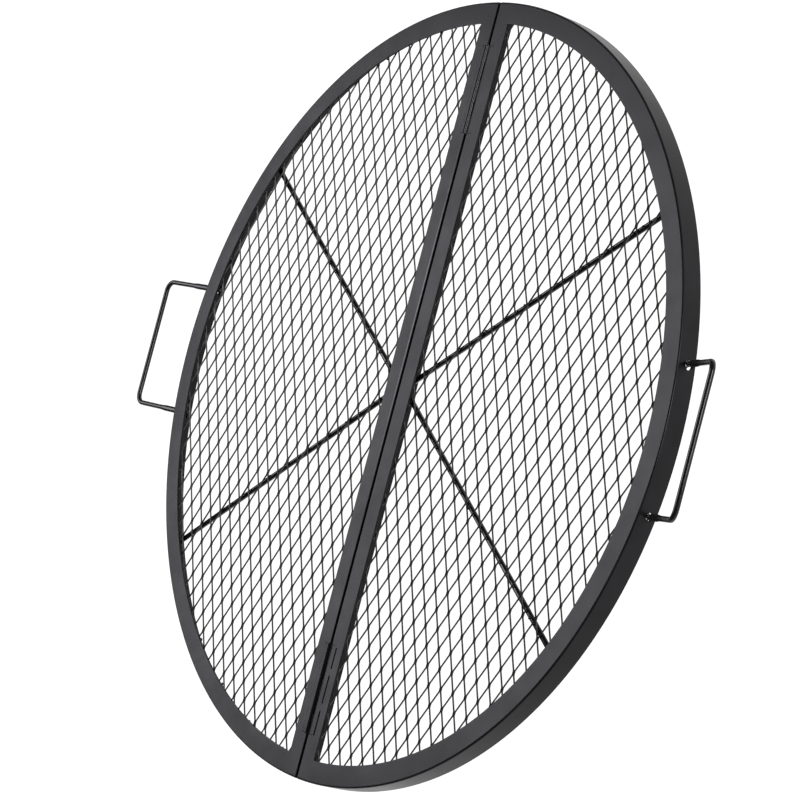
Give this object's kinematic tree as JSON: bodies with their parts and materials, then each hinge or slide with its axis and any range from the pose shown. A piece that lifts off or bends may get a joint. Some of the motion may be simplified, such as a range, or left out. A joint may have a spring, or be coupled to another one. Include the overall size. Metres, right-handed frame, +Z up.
{
  "type": "folding fire pit grill grate",
  "caption": "Round black steel fire pit grate in two hinged halves: angle-iron rim, expanded metal cooking surface, brace rods underneath and a loose wire handle on each side.",
  "frame": {"origin": "centre of the disc, on the plane of the rim's bottom edge, where the grate rests", "axes": "+Z up; the seam and the hinge axis run along Y, +Y to the rear; the right half is +X and folds up over the left half"},
  "size_m": [1.1103, 0.9144, 0.0664],
  "materials": {
    "black_powder_coat": "satin black powder coat",
    "mesh_powder_coat": "satin black powder coat on expanded steel",
    "rod_powder_coat": "satin black powder coat on round rod",
    "hinge_powder_coat": "satin black powder coat over weld"
  },
  "bodies": {
    "left_half": {"left_rim": "black_powder_coat", "left_centre_bar": "black_powder_coat", "left_mesh_panel": "mesh_powder_coat", "left_rear_brace_rod": "rod_powder_coat", "left_front_brace_rod": "rod_powder_coat", "rear_hinge_left_leaf": "hinge_powder_coat", "rear_hinge_pin": "hinge_powder_coat", "front_hinge_left_leaf": "hinge_powder_coat", "front_hinge_pin": "hinge_powder_coat"},
    "right_half": {"right_rim": "black_powder_coat", "right_centre_bar": "black_powder_coat", "right_mesh_panel": "mesh_powder_coat", "right_rear_brace_rod": "rod_powder_coat", "right_front_brace_rod": "rod_powder_coat", "rear_hinge_right_leaf": "hinge_powder_coat", "front_hinge_right_leaf": "hinge_powder_coat"},
    "left_grip": {"left_handle": "rod_powder_coat"},
    "right_grip": {"right_handle": "rod_powder_coat"}
  },
  "joints": [
    {"name": "fold", "type": "hinge", "parent": "left_half", "child": "right_half", "pos_m": [0, 0, 0.0261], "axis": [0, -1, 0], "range_deg": [-10, 176]},
    {"name": "left_handle_swing", "type": "hinge", "parent": "left_half", "child": "left_grip", "pos_m": [-0.44855, 0, 0.0096], "axis": [0, -1, 0], "range_deg": [0, 31]},
    {"name": "right_handle_swing", "type": "hinge", "parent": "right_half", "child": "right_grip", "pos_m": [0.44855, 0, 0.0096], "axis": [0, -1, 0], "range_deg": [-58.1, 0]}
  ]
}
